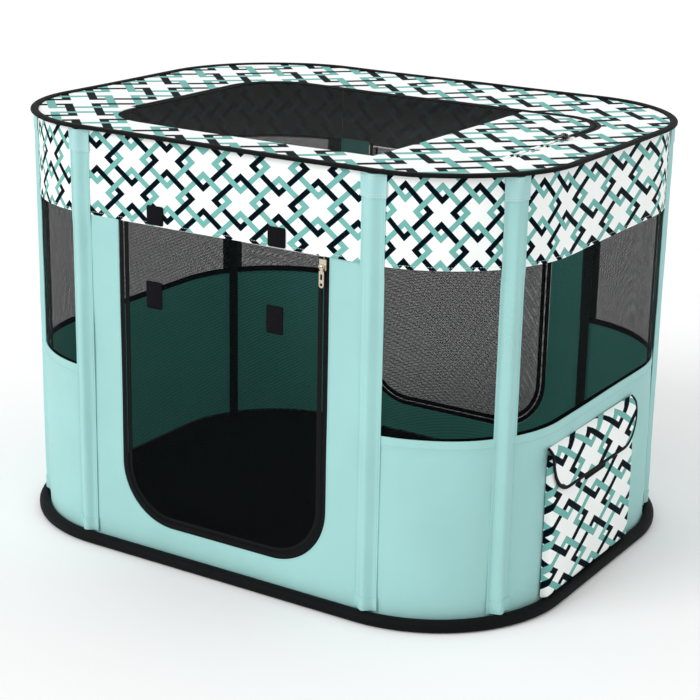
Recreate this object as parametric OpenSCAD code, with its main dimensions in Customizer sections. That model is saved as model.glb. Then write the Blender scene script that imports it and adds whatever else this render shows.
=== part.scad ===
// Pop-up pet playpen with mesh windows, two zip doors, a roof hatch and a side pocket

/* [Body] */
// Length of the walls, outside
wall_length = 780; // [600:1:1100]
// Width of the walls, outside
wall_width = 612; // [460:1:800]
// Overall height
body_height = 578; // [400:1:800]
// Outside radius of the wall corners
corner_radius = 178; // [120:1:240]
// Thickness of the wall cloth
cloth = 1.2; // [0.8:0.1:2]

/* [Rims] */
// Radius of the floor binding
floor_rim_r = 8; // [5:0.5:12]
// Radius of the roof binding
roof_rim_r = 5.5; // [4:0.5:9]
// Diameter of the spring steel hoops
hoop_d = 4; // [2.5:0.5:6]

/* [Levels] */
// Lower edge of the printed band
band_bottom = 459; // [380:1:480]
// Height of the window sills
sill_height = 247; // [160:1:300]

/* [Poles] */
// Diameter of an upright pole
pole_d = 5; // [4:0.5:8]
// Width of a pole sleeve
sleeve_w = 32; // [24:1:44]
// Angle of the front and rear poles on the corner bend
pole_angle_long = 86.8; // [80:0.1:89]
// Angle of the side poles on the corner bend
pole_angle_short = 31.5; // [10:0.1:45]

/* [Doors] */
// Half width of a door at its zip teeth
door_half = 153.2; // [100:0.1:180]
// Height of the zip teeth under a door
door_bottom = 56; // [30:1:90]
// Bend radius of the lower door corners
door_corner = 74; // [30:1:110]
// Visible width of one zip tape
tape_w = 6.4; // [4:0.1:14]
// Room for the zip teeth between the tapes
teeth_gap = 2; // [1.4:0.1:3]

/* [Roof hatch] */
// Left end of the hatch
hatch_left = -257; // [-300:1:-150]
// Right end of the hatch
hatch_right = 313; // [200:1:330]
// Hinged front edge of the hatch
hatch_front = -236; // [-270:1:-200]
// Rear edge of the hatch
hatch_rear = 160; // [100:1:250]
// Bend radius of the hatch corners
hatch_corner = 80; // [40:1:110]
// Where the hatch mesh meets its printed end
hatch_split = 177; // [120:1:240]

/* [Pocket] */
// Width of the pocket pouch
pocket_w = 244; // [120:1:300]
// Centre of the pocket along the side wall
pocket_y = -34; // [-60:1:60]
// Height of the pocket mouth
pocket_top = 210; // [120:1:225]

/* [Hidden] */
$fn = 96;
cx = wall_length / 2 - corner_radius;
cy = wall_width / 2 - corner_radius;
long = 2 * cx;
short = 2 * cy;
band_out = corner_radius + 0.4;
band_in = band_out - cloth;
wall_out = band_in - 0.4;
wall_in = wall_out - cloth;
mesh_out = wall_in - 0.4;
mesh_in = mesh_out - 1;
tape_out = mesh_in - 0.4;
tape_in = tape_out - 1;
strap_out = tape_in - 0.4;
strap_in = strap_out - 1;
wall_z = 3;
band_top = body_height - 9.6;
panel_top = band_bottom + 5;
sleeve_base = band_out + 0.3;
arch_rise = 7.9;
arch_r = (sleeve_w * sleeve_w / 4 + arch_rise * arch_rise) / (2 * arch_rise);
arch_c = sleeve_base + arch_rise - arch_r;
pole_c = sleeve_base + 3.5;
sleeve_z0 = 2 * floor_rim_r + 0.6;
sleeve_z1 = body_height - 2 * roof_rim_r - 0.4;
floor_c = sleeve_base + floor_rim_r - 0.7;
roof_c = corner_radius + 4.5;
roof_cz = body_height - roof_rim_r;
roof_z = roof_cz - 1.1;
seam = 0.07;
door_top = band_bottom - 1.8;
face_y = -(cy + wall_out);
mid_y = -(cy + (wall_out + wall_in) / 2);
pocket_x = cx + wall_out + 0.3;

// ---- helpers ----

// A bent piece of wall round one corner, between two angles
module bend(sx, sy, a0, a1, r0, r1, z0, z1) {
  mirror([sx < 0 ? 1 : 0, 0, 0])
    mirror([0, sy < 0 ? 1 : 0, 0])
      translate([cx, cy, 0])
        rotate([0, 0, a0])
          rotate_extrude(angle = a1 - a0)
            translate([r0, z0])
              square([r1 - r0, z1 - z0]);
}

// A flat piece of wall along a long side
module long_flat(sy, r0, r1, z0, z1) {
  mirror([0, sy < 0 ? 1 : 0, 0])
    translate([-cx, cy + r0, z0])
      cube([long, r1 - r0, z1 - z0]);
}

// A flat piece of wall along a short side
module short_flat(sx, r0, r1, z0, z1) {
  mirror([sx < 0 ? 1 : 0, 0, 0])
    translate([cx + r0, -cy, z0])
      cube([r1 - r0, short, z1 - z0]);
}

// Sweeps a profile of radius and height right round the body
module round_body() {
  for (sx = [0, 1], sy = [0, 1])
    mirror([sx, 0, 0])
      mirror([0, sy, 0])
        translate([cx, cy, 0])
          rotate_extrude(angle = 90)
            children();
  for (sy = [0, 1])
    mirror([0, sy, 0])
      translate([-cx, cy, 0])
        rotate([90, 0, 90])
          linear_extrude(long)
            children();
  for (sx = [0, 1])
    mirror([sx, 0, 0])
      translate([cx, cy, 0])
        rotate([90, 0, 0])
          linear_extrude(short)
            children();
}

// A flat plate with the body's outline
module body_plate(r, z0, z1) {
  translate([-cx - r, -cy, z0])
    cube([long + 2 * r, short, z1 - z0]);
  translate([-cx, -cy - r, z0])
    cube([long, short + 2 * r, z1 - z0]);
  for (x = [-cx, cx], y = [-cy, cy])
    translate([x, y, z0])
      cylinder(r = r, h = z1 - z0);
}

// Puts a piece at each of the eight poles, its X pointing outward
module at_poles() {
  for (sx = [-1, 1], sy = [-1, 1], a = [pole_angle_long, pole_angle_short])
    translate([sx * cx, sy * cy, 0])
      rotate([0, 0, atan2(sy * sin(a), sx * cos(a))])
        children();
}

// The bent cover over a pole, seen from above
module arch(r0, r1, z0, z1) {
  translate([0, 0, z0])
    linear_extrude(z1 - z0)
      difference() {
        translate([arch_c, 0])
          circle(r = r1);
        translate([arch_c, 0])
          circle(r = r0);
        translate([arch_c - 30, -30])
          square([sleeve_base - arch_c + 30, 60]);
      }
}

// Outline of a door with its two lower corners round, grown by e
module door_shape(e, top) {
  w = door_half + e;
  b = door_bottom - e;
  r = door_corner + e;
  translate([-w, b + r])
    square([2 * w, top - b - r]);
  translate([-w + r, b])
    square([2 * (w - r), r + 1]);
  for (s = [-1, 1])
    translate([s * (w - r), b + r])
      circle(r = r);
}

// Stands a flat door outline up in the front wall
module in_front(y0, y1) {
  translate([0, y1, 0])
    rotate([90, 0, 0])
      linear_extrude(y1 - y0)
        children();
}

// Outline of the hatch, grown by e
module hatch_shape(e) {
  x0 = hatch_left - e;
  x1 = hatch_right + e;
  y0 = hatch_front - e;
  y1 = hatch_rear + e;
  r = hatch_corner + e;
  translate([x0 + r, y0])
    square([x1 - x0 - 2 * r, y1 - y0]);
  translate([x0, y0 + r])
    square([x1 - x0, y1 - y0 - 2 * r]);
  for (x = [x0 + r, x1 - r], y = [y0 + r, y1 - r])
    translate([x, y])
      circle(r = r);
}

// A layer of the roof
module in_roof() {
  translate([0, 0, roof_z])
    linear_extrude(cloth)
      children();
}

// ---- frame ----

module floor_panel() {
  color("#0b0c0f")
    body_plate(corner_radius - 0.6, 0, 1.5);
}

module hoop(rc, zc) {
  round_body()
    translate([rc, zc])
      circle(d = hoop_d);
}

module floor_hoop() {
  color("#8d9194")
    hoop(floor_c, floor_rim_r);
}

module roof_hoop() {
  color("#8d9194")
    hoop(roof_c, roof_cz);
}

module floor_binding() {
  color("#111215")
    round_body() {
      difference() {
        translate([floor_c, floor_rim_r])
          circle(r = floor_rim_r);
        translate([floor_c, floor_rim_r])
          circle(r = floor_rim_r - 1.3);
      }
      translate([wall_in - 5, 1.8])
        square([floor_c - wall_in - 0.4, 0.9]);
    }
}

module roof_binding() {
  color("#111215")
    round_body()
      difference() {
        translate([roof_c, roof_cz])
          circle(r = roof_rim_r);
        translate([roof_c, roof_cz])
          circle(r = roof_rim_r - 1.2);
      }
}

module upright_poles() {
  color("#d9dbd8")
    at_poles()
      translate([pole_c, 0, sleeve_z0 + 3])
        cylinder(d = pole_d, h = sleeve_z1 - sleeve_z0 - 6);
}

module cap() {
  difference() {
    cylinder(d = pole_d + 1.2, h = 14);
    translate([0, 0, 2.8])
      cylinder(d = pole_d + 0.2, h = 14);
  }
}

module pole_end_caps() {
  color("#1c1d20")
    at_poles()
      translate([pole_c, 0, 0]) {
        translate([0, 0, sleeve_z0])
          cap();
        translate([0, 0, sleeve_z1])
          mirror([0, 0, 1])
            cap();
      }
}

module pole_sleeves() {
  color("#a3d9d6")
    at_poles()
      arch(arch_r - 1, arch_r, sleeve_z0, sleeve_z1);
}

module sleeve_top_patches() {
  color("#b4e2df")
    at_poles()
      arch(arch_r + 0.2, arch_r + 1, sleeve_z1 - 29, sleeve_z1);
}

module sleeve_bottom_patches() {
  color("#a8dcd9")
    at_poles()
      arch(arch_r + 0.2, arch_r + 1, sleeve_z0, sleeve_z0 + 18);
}

// ---- printed band under the roof ----

module band_long(sy) {
  color("#f2f7f5")
    long_flat(sy, band_in, band_out, band_bottom, band_top);
}

module band_end(sx) {
  color("#f2f7f5") {
    short_flat(sx, band_in, band_out, band_bottom, band_top);
    for (sy = [-1, 1])
      bend(sx, sy, 0, 90 - seam, band_in, band_out, band_bottom, band_top);
  }
}

module printed_band_front() {
  band_long(-1);
}

module printed_band_rear() {
  band_long(1);
}

module printed_band_left() {
  band_end(-1);
}

module printed_band_right() {
  band_end(1);
}

// ---- wall cloth ----

module door_wall(sy) {
  color("#a6dcda")
    difference() {
      long_flat(sy, wall_in, wall_out, wall_z, panel_top);
      mirror([0, sy < 0 ? 0 : 1, 0])
        in_front(face_y - 5, face_y + 6)
          door_shape(teeth_gap / 2 + tape_w + 0.2, panel_top + 2);
    }
}

module front_panel() {
  door_wall(-1);
}

module rear_panel() {
  door_wall(1);
}

module side_wall(sx) {
  color("#8fcdc8") {
    short_flat(sx, wall_in, wall_out, wall_z, sill_height);
    for (sy = [-1, 1])
      bend(sx, sy, 0, pole_angle_short - seam, wall_in, wall_out, wall_z, sill_height);
  }
}

module left_lower_panel() {
  side_wall(-1);
}

module right_lower_panel() {
  side_wall(1);
}

module corner_wall(sx, sy) {
  color("#a0d7d4")
    bend(sx, sy, pole_angle_short + seam, 90 - seam,
      wall_in, wall_out, wall_z, sill_height);
}

module front_left_lower_panel() {
  corner_wall(-1, -1);
}

module front_right_lower_panel() {
  corner_wall(1, -1);
}

module rear_left_lower_panel() {
  corner_wall(-1, 1);
}

module rear_right_lower_panel() {
  corner_wall(1, 1);
}

// ---- mesh windows ----

module side_mesh(sx) {
  color("#2b2e32", 0.6) {
    short_flat(sx, mesh_in, mesh_out, sill_height - 8, panel_top);
    for (sy = [-1, 1])
      bend(sx, sy, 0, pole_angle_short - seam, mesh_in, mesh_out, sill_height - 8, panel_top);
  }
}

module left_window() {
  side_mesh(-1);
}

module right_window() {
  side_mesh(1);
}

module corner_mesh(sx, sy) {
  color("#2b2e32", 0.6)
    bend(sx, sy, pole_angle_short + seam, 90 - seam,
      mesh_in, mesh_out, sill_height - 8, panel_top);
}

module front_left_window() {
  corner_mesh(-1, -1);
}

module front_right_window() {
  corner_mesh(1, -1);
}

module rear_left_window() {
  corner_mesh(-1, 1);
}

module rear_right_window() {
  corner_mesh(1, 1);
}

module sill_seam_tapes() {
  color("#111215")
    for (sx = [-1, 1]) {
      short_flat(sx, tape_in, tape_out, sill_height - 8, sill_height + 5);
      for (sy = [-1, 1])
        bend(sx, sy, 0, pole_angle_long - 1, tape_in, tape_out, sill_height - 8, sill_height + 5);
    }
}

module pole_seam_tapes() {
  color("#111215")
    for (sx = [-1, 1], sy = [-1, 1], a = [pole_angle_long - 3, pole_angle_short])
      bend(sx, sy, a - 2.4, a + 2.4, strap_in, strap_out, wall_z, panel_top);
}

// ---- doors, drawn at the front and turned to the rear ----

module door_mesh() {
  color("#2b2e32", 0.6)
    in_front(mid_y - 0.5, mid_y + 0.5)
      door_shape(-teeth_gap / 2 - tape_w - 0.1, door_top);
}

module door_tape() {
  color("#111215")
    in_front(mid_y - 0.6, mid_y + 0.6)
      difference() {
        door_shape(-teeth_gap / 2, door_top);
        door_shape(-teeth_gap / 2 - tape_w, door_top + 5);
      }
}

module frame_tape() {
  color("#111215")
    in_front(mid_y - 0.6, mid_y + 0.6)
      difference() {
        door_shape(teeth_gap / 2 + tape_w, panel_top);
        door_shape(teeth_gap / 2, panel_top + 5);
      }
}

module door_patches() {
  color("#0c0c0e")
    for (x = [-104, 83])
      translate([x - 12.5, mid_y - 1.8, 349])
        cube([25, 1, 36]);
}

module band_patches() {
  color("#0c0c0e")
    for (x = [-100, 86])
      translate([x - 13, -(cy + band_out) - 1.2, band_bottom + 0.5])
        cube([26, 1, 25]);
}

// A zip slider: X across the teeth, outward is -Y, origin in the teeth
module slider() {
  difference() {
    translate([-5, -2.8, -7.5])
      cube([10, 1.6, 15]);
    for (s = [-1, 1])
      translate([s * 8.6, -5, -9])
        rotate([-90, 0, 0])
          cylinder(r = 5.4, h = 6);
  }
  translate([-0.45, -1.3, -5])
    cube([0.9, 2.5, 12]);
  translate([-4.6, 1.0, -6])
    cube([5.05, 1, 13]);
  for (s = [-1, 1])
    translate([s * 3.4 - 0.5, -6.1, -3])
      cube([1, 3.4, 4]);
  translate([-3.4, -5.1, -1])
    rotate([0, 90, 0])
      cylinder(d = 1.4, h = 6.8);
}

// The pull of a slider, hanging from its pin
module pull() {
  difference() {
    union() {
      translate([-1.9, -5.1, -1])
        rotate([0, 90, 0])
          cylinder(r = 1.9, h = 3.8);
      translate([-1.9, -5.7, -8])
        cube([3.8, 1.2, 6]);
      translate([-3.5, -5.7, -24])
        cube([7, 1.2, 17]);
      translate([0, -4.5, -24])
        rotate([90, 0, 0])
          cylinder(r = 3.5, h = 1.2);
    }
    translate([-3, -5.1, -1])
      rotate([0, 90, 0])
        cylinder(r = 1, h = 6);
    translate([0, 0, -23.4])
      rotate([90, 0, 0])
        cylinder(r = 1.9, h = 9);
    translate([-1.5, -9, -17.5])
      cube([3, 9, 7]);
  }
}

module at_door_zip() {
  translate([door_half, mid_y, band_bottom - 11.5])
    children();
}

module to_rear() {
  rotate([0, 0, 180])
    children();
}

module front_door_mesh() {
  door_mesh();
}

module front_door_zip_tape() {
  door_tape();
}

module front_frame_zip_tape() {
  frame_tape();
}

module front_zip_slider() {
  color("#b9b6ad")
    at_door_zip()
      slider();
}

module front_zip_pull() {
  color("#c9c1a8")
    at_door_zip()
      pull();
}

module front_door_fasteners() {
  door_patches();
}

module front_band_fasteners() {
  band_patches();
}

module rear_door_mesh() {
  to_rear()
    door_mesh();
}

module rear_door_zip_tape() {
  to_rear()
    door_tape();
}

module rear_frame_zip_tape() {
  to_rear()
    frame_tape();
}

module rear_zip_slider() {
  color("#b9b6ad")
    to_rear()
      at_door_zip()
        slider();
}

module rear_zip_pull() {
  color("#c9c1a8")
    to_rear()
      at_door_zip()
        pull();
}

module rear_door_fasteners() {
  to_rear()
    door_patches();
}

module rear_band_fasteners() {
  to_rear()
    band_patches();
}

// ---- roof ----

// The roof to the right of the hatch is a strip of its own
module roof_end_cut(e) {
  translate([hatch_right + teeth_gap / 2 + tape_w + 0.2 + e, -400])
    square([400, 800]);
}

module roof_panel_end() {
  color("#f2f7f5")
    intersection() {
      body_plate(corner_radius - 1.2, roof_z, roof_z + cloth);
      translate([0, 0, -1])
        linear_extrude(body_height + 10)
          roof_end_cut(0.2);
    }
}

module roof_panel() {
  color("#f2f7f5")
    difference() {
      body_plate(corner_radius - 1.2, roof_z, roof_z + cloth);
      translate([0, 0, -1])
        linear_extrude(body_height + 10)
          roof_end_cut(0);
      translate([0, 0, -1])
        linear_extrude(body_height + 10)
          union() {
            difference() {
              hatch_shape(teeth_gap / 2 + tape_w + 0.2);
              hatch_front_part(0);
            }
            hatch_shape(0.4);
          }
    }
}

// The part of the hatch opening in front of its zip
module hatch_front_part(e) {
  translate([hatch_left - 40, hatch_front - 40])
    square([hatch_right - hatch_left + 80, 40 + hatch_corner + e]);
}

module roof_frame_zip_tape() {
  color("#111215")
    in_roof()
      difference() {
        hatch_shape(teeth_gap / 2 + tape_w);
        hatch_shape(teeth_gap / 2);
        hatch_front_part(0.2);
      }
}

module hatch_zip_tape() {
  color("#111215")
    in_roof()
      difference() {
        hatch_shape(-teeth_gap / 2);
        hatch_shape(-teeth_gap / 2 - tape_w);
        hatch_front_part(0.2);
      }
}

// Cloth of the hatch inside its tape
module hatch_cloth() {
  difference() {
    hatch_shape(-teeth_gap / 2 - tape_w - 0.1);
    hatch_front_part(0);
  }
  intersection() {
    hatch_shape(-0.4);
    hatch_front_part(0);
  }
}

module hatch_mesh() {
  color("#2b2e32", 0.6)
    translate([0, 0, roof_z + 0.1])
      linear_extrude(1)
        intersection() {
          hatch_cloth();
          translate([hatch_left - 40, hatch_front - 40])
            square([hatch_split - hatch_left + 40, 800]);
        }
}

module hatch_printed_end() {
  color("#f2f7f5")
    in_roof()
      intersection() {
        hatch_cloth();
        translate([hatch_split + 0.2, hatch_front - 40])
          square([400, 800]);
      }
}

module at_hatch_zip() {
  translate([hatch_right, 5, roof_z + cloth / 2])
    rotate([-90, 0, 0])
      children();
}

module hatch_zip_slider() {
  color("#26272b")
    at_hatch_zip()
      slider();
}

module hatch_zip_pull() {
  color("#2b2c30")
    at_hatch_zip()
      pull();
}

// ---- pocket ----

// Extrudes a side outline of depth and height along the pocket
module along_pocket(y0, y1) {
  translate([pocket_x, y1, 0])
    rotate([90, 0, 0])
      linear_extrude(y1 - y0)
        children();
}

module pocket_pouch() {
  y0 = pocket_y - pocket_w / 2;
  y1 = pocket_y + pocket_w / 2;
  color("#f2f7f5")
    difference() {
      along_pocket(y0, y1)
        polygon([
          [0, 18], [10, 19], [12, 60], [10.8, 150], [7.4, pocket_top], [0, pocket_top]
        ]);
      along_pocket(y0 + 1.2, y1 - 1.2)
        polygon([
          [-2, 19.2], [8.9, 20.2], [10.8, 60], [9.6, 150], [6.2, pocket_top],
          [6.2, pocket_top + 5], [-2, pocket_top + 5]
        ]);
    }
}

// Front outline of the flap, drawn in by e
module flap_outline(e) {
  w = pocket_w / 2 + 4 - e;
  r = 38 - e;
  b = pocket_top - 64 + e;
  t = pocket_top + 20;
  translate([pocket_y, 0]) {
    translate([-w, b + r])
      square([2 * w, t - b - r]);
    translate([-w + r, b])
      square([2 * (w - r), r + 1]);
    for (s = [-1, 1])
      translate([s * (w - r), b + r])
        circle(r = r);
  }
}

module facing_right() {
  rotate([90, 0, 90])
    translate([0, 0, pocket_x - 10])
      linear_extrude(60)
        children();
}

// Side outline of the flap, h thick
module flap_side(h) {
  path = [
    [1.2, pocket_top + 10.5], [9, pocket_top + 4.5], [11.2, pocket_top - 6],
    [14, pocket_top - 46], [15.4, pocket_top - 70]
  ];
  polygon([
    for (i = [0:4]) [path[i][0] + h / 2, path[i][1]],
    for (i = [4:-1:0]) [path[i][0] - h / 2, path[i][1]]
  ]);
}

module pocket_flap() {
  color("#f2f7f5")
    intersection() {
      along_pocket(pocket_y - 200, pocket_y + 200)
        flap_side(1.2);
      facing_right()
        flap_outline(4.2);
    }
}

module pocket_flap_binding() {
  color("#111215")
    intersection() {
      along_pocket(pocket_y - 200, pocket_y + 200)
        flap_side(1.8);
      facing_right()
        difference() {
          flap_outline(0);
          flap_outline(4);
        }
    }
}

module pocket_loop_fastener() {
  color("#0c0c0e")
    translate([pocket_x + 11.3, pocket_y - 30, pocket_top - 60])
      cube([0.6, 60, 14]);
}

module pocket_hook_fastener() {
  color("#0c0c0e")
    translate([pocket_x + 12.4, pocket_y - 30, pocket_top - 60])
      cube([0.6, 60, 10]);
}

floor_panel();
floor_hoop();
floor_binding();
roof_hoop();
roof_binding();
upright_poles();
pole_end_caps();
pole_sleeves();
sleeve_top_patches();
sleeve_bottom_patches();
printed_band_front();
printed_band_rear();
printed_band_left();
printed_band_right();
front_panel();
rear_panel();
left_lower_panel();
right_lower_panel();
front_left_lower_panel();
front_right_lower_panel();
rear_left_lower_panel();
rear_right_lower_panel();
left_window();
right_window();
front_left_window();
front_right_window();
rear_left_window();
rear_right_window();
sill_seam_tapes();
pole_seam_tapes();
front_door_mesh();
front_door_zip_tape();
front_frame_zip_tape();
front_zip_slider();
front_zip_pull();
front_door_fasteners();
front_band_fasteners();
rear_door_mesh();
rear_door_zip_tape();
rear_frame_zip_tape();
rear_zip_slider();
rear_zip_pull();
rear_door_fasteners();
rear_band_fasteners();
roof_panel();
roof_panel_end();
roof_frame_zip_tape();
hatch_mesh();
hatch_printed_end();
hatch_zip_tape();
hatch_zip_slider();
hatch_zip_pull();
pocket_pouch();
pocket_flap();
pocket_flap_binding();
pocket_loop_fastener();
pocket_hook_fastener();
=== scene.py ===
import math
import bmesh
import bpy
from mathutils import Matrix, Vector, noise
from mathutils.geometry import delaunay_2d_cdt


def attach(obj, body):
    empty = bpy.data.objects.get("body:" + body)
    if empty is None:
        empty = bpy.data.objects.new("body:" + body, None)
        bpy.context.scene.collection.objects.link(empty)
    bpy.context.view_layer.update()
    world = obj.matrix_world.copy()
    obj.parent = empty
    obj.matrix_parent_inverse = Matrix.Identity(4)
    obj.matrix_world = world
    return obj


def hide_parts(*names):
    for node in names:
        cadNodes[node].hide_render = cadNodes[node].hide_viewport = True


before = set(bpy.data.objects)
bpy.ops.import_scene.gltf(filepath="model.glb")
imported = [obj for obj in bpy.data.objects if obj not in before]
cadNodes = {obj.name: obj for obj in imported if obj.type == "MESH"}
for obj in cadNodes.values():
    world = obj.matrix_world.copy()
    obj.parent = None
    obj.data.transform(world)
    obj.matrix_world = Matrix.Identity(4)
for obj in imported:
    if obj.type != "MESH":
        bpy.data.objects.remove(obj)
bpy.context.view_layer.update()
scene = bpy.context.scene
print("frame loaded:", len(cadNodes), "nodes")


# camera, light and floor

view = dict(place=(1.2944, -2.0606, 1.0071), turn=32.11, tilt=17.63, roll=1.10, lens=93.24)
lamps = dict(sky=0.92, sun=1.30, sunFrom=(-0.45, -0.80, 0.55), softness=35.0, floorTone=0.93)


def makeCamera():
    a, e, r = (math.radians(view[k]) for k in ("turn", "tilt", "roll"))
    back = Vector((math.sin(a) * math.cos(e), -math.cos(a) * math.cos(e), math.sin(e)))
    side = Vector((0, 0, 1)).cross(back).normalized()
    up = back.cross(side)
    side, up = math.cos(r) * side + math.sin(r) * up, math.cos(r) * up - math.sin(r) * side
    data = bpy.data.cameras.new("studioCamera")
    data.lens = view["lens"]
    data.sensor_width = 36
    cam = bpy.data.objects.new("studioCamera", data)
    scene.collection.objects.link(cam)
    m = Matrix((side, up, back)).transposed().to_4x4()
    m.translation = Vector(view["place"])
    cam.matrix_world = m
    scene.camera = cam


def makeLight():
    world = bpy.data.worlds.new("softSky")
    scene.world = world
    world.use_nodes = True
    tree = world.node_tree
    sky = tree.nodes["Background"]
    sky.inputs["Color"].default_value = (1, 1, 1, 1)
    sky.inputs["Strength"].default_value = lamps["sky"]
    data = bpy.data.lights.new("softSun", "SUN")
    data.energy = lamps["sun"]
    data.angle = math.radians(lamps["softness"])
    sun = bpy.data.objects.new("softSun", data)
    sun.rotation_euler = Vector(lamps["sunFrom"]).to_track_quat("Z", "Y").to_euler()
    scene.collection.objects.link(sun)
    scene.view_settings.view_transform = "Standard"


# shader building

class Wire:  # a socket that takes part in arithmetic
    def __init__(self, tree, socket):
        self.tree = tree
        self.socket = socket

    def maths(self, kind, *others):
        n = self.tree.nodes.new("ShaderNodeMath")
        n.operation = kind
        for k, v in enumerate((self,) + others):
            if isinstance(v, Wire):
                self.tree.links.new(v.socket, n.inputs[k])
            else:
                n.inputs[k].default_value = v
        return Wire(self.tree, n.outputs[0])

    def __add__(self, other):
        return self.maths("ADD", other)

    def __sub__(self, other):
        return self.maths("SUBTRACT", other)

    def __mul__(self, other):
        return self.maths("MULTIPLY", other)

    def __truediv__(self, other):
        return self.maths("DIVIDE", other)

    def __gt__(self, other):
        return self.maths("GREATER_THAN", other)

    def __lt__(self, other):
        return self.maths("LESS_THAN", other)

    __radd__ = __add__
    __rmul__ = __mul__

    def __rsub__(self, other):
        return (self * -1) + other

    def size(self):
        return self.maths("ABSOLUTE")

    def wave(self):
        return self.maths("SINE")

    def most(self, other):
        return self.maths("MAXIMUM", other)

    def least(self, other):
        return self.maths("MINIMUM", other)


class Finish:  # one material and the nodes in it
    def __init__(self, name, rough=0.7, colour=(0.5, 0.5, 0.5)):
        self.mat = bpy.data.materials.new(name)
        self.mat.use_nodes = True
        self.tree = self.mat.node_tree
        self.shader = self.tree.nodes["Principled BSDF"]
        self.look({"Roughness": rough, "Base Color": (*colour, 1)})

    def put(self, node, sockets):
        for key, value in sockets.items():
            socket = node.inputs[key]
            if isinstance(value, Wire):
                self.tree.links.new(value.socket, socket)
            else:
                socket.default_value = value

    def node(self, kind, settings=None, sockets=None, out=0):
        n = self.tree.nodes.new(kind)
        for key, value in (settings or {}).items():
            setattr(n, key, value)
        self.put(n, sockets or {})
        return Wire(self.tree, n.outputs[out])

    def mix(self, share, a, b):
        return self.node("ShaderNodeMix", {"data_type": "RGBA"}, {0: share, 6: a, 7: b}, 2)

    def look(self, sockets):
        self.put(self.shader, sockets)

    def cloth(self):  # along and up the piece's own cloth map, in metres
        uv = self.node("ShaderNodeUVMap", {"uv_map": "cloth"})
        n = self.tree.nodes.new("ShaderNodeSeparateXYZ")
        self.tree.links.new(uv.socket, n.inputs[0])
        return Wire(self.tree, n.outputs[0]), Wire(self.tree, n.outputs[1])

    def noise(self, scale, detail=3.0, rough=0.5):
        where = self.node("ShaderNodeTexCoord", out=3)
        return self.node("ShaderNodeTexNoise", None,
                         {"Vector": where, "Scale": scale, "Detail": detail, "Roughness": rough})

    def bump(self, height, strength, depth):
        rise = self.node("ShaderNodeBump", None,
                         {"Height": height, "Strength": strength, "Distance": depth})
        self.look({"Normal": rise})


def tone(code):  # a paint code to linear colour
    parts = [int(code[k:k + 2], 16) / 255 for k in (0, 2, 4)]
    return tuple(c / 12.92 if c <= 0.04045 else ((c + 0.055) / 1.055) ** 2.4 for c in parts)


def shade(colour, by):
    return tuple(min(1.0, c * by) for c in colour) + (1,)


def weave(u, v, pitch):  # over and under threads of a plain weave
    k = 2 * math.pi / pitch
    return (u * k).wave() * (v * k).wave()


tealLook = dict(colour="9ccdca", weave=0.0011, patchy=0.075, rough=0.68)


def tealCloth(name, colour, glow=None):
    base = tone(colour)
    f = Finish(name, tealLook["rough"], base)
    u, v = f.cloth()
    cloud = f.noise(9.0, 4.0)
    streak = f.noise(60.0, 2.0)
    share = (cloud - 0.5) * 1.6 + 0.5
    paint = f.mix(share, shade(base, 1 - tealLook["patchy"]), shade(base, 1 + tealLook["patchy"]))
    threads = weave(u, v, tealLook["weave"])
    paint = f.mix((threads * 0.5 + 0.5) * 0.22, paint, shade(base, 0.78))
    f.look({"Base Color": paint, "Roughness": 0.62 + 0.14 * streak, "Specular IOR Level": 0.35,
            "Sheen Weight": 0.12, "Sheen Roughness": 0.5})
    f.bump(threads * 0.00012 + cloud * 0.0026 + streak * 0.0005, 0.6, 1.0)
    if glow:  # daylight coming through the cloth
        f.look({"Emission Color": (*glow, 1), "Emission Strength": 0.13})
    return f.mat


printLook = dict(across=0.0500, straight=0.0564, corner=0.0430, end=0.0820, up=0.0460, half=0.69,
                 stroke=0.200, shift=(0.011, -0.006), white="fdfffd", navy="020f18", teal="72b0a9")


def printCloth(name, across, up, shift=(0.0, 0.0), faint=0.0):
    f = Finish(name, 0.6, (0.9, 0.92, 0.91))
    u, v = f.cloth()
    x = (u + shift[0]) / across
    y = (v + shift[1]) / up
    s = x + y
    t = x - y

    def near(w):  # signed distance to the nearest even number
        return w - (w * 0.5).maths("ROUND") * 2

    half, w = printLook["half"], printLook["stroke"] / 2

    def strokes(a, b):
        line = ((a.size() - half).size() < w) * (b.size() < half + w)
        other = ((b.size() - half).size() < w) * (a.size() < half + w)
        return line, other

    se, te = near(s), near(t)
    so, to = near(s + 1), near(t + 1)
    tealS, tealT = strokes(se, te)
    navyS, navyT = strokes(so, to)
    over = (se * te) > 0.0
    under = 1 - over
    navyMask = (navyS * (1 - tealT * over)).most(navyT * (1 - tealS * under))
    tealMask = (tealS * (1 - navyT * over)).most(tealT * (1 - navyS * under))
    white, navy, teal = (tone(printLook[k]) for k in ("white", "navy", "teal"))
    cloud = f.noise(14.0, 3.0)
    threads = weave(u, v, 0.0010)
    paper = f.mix(cloud, shade(white, 0.90), shade(white, 1.0))
    paper = f.mix((threads * 0.5 + 0.5) * 0.12, paper, shade(teal, 0.8))
    if faint:  # the unprinted side, where the print only shows through
        paper = f.mix(cloud, shade(white, 0.20), shade(white, 0.24))
        tealMask, navyMask = tealMask * faint, navyMask * faint
    paint = f.mix(tealMask, paper, (*teal, 1))
    paint = f.mix(navyMask, paint, (*navy, 1))
    ink = tealMask.most(navyMask)
    f.look({"Base Color": paint, "Roughness": 0.66 - 0.12 * ink + 0.08 * cloud,
            "Specular IOR Level": 0.02})
    f.bump(threads * 0.00009 + cloud * 0.0016, 0.5, 1.0)
    return f.mat


netLook = dict(pitch=0.0019, thread=0.25, veil=0.45, colour="08090a", rough=0.6)


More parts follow.
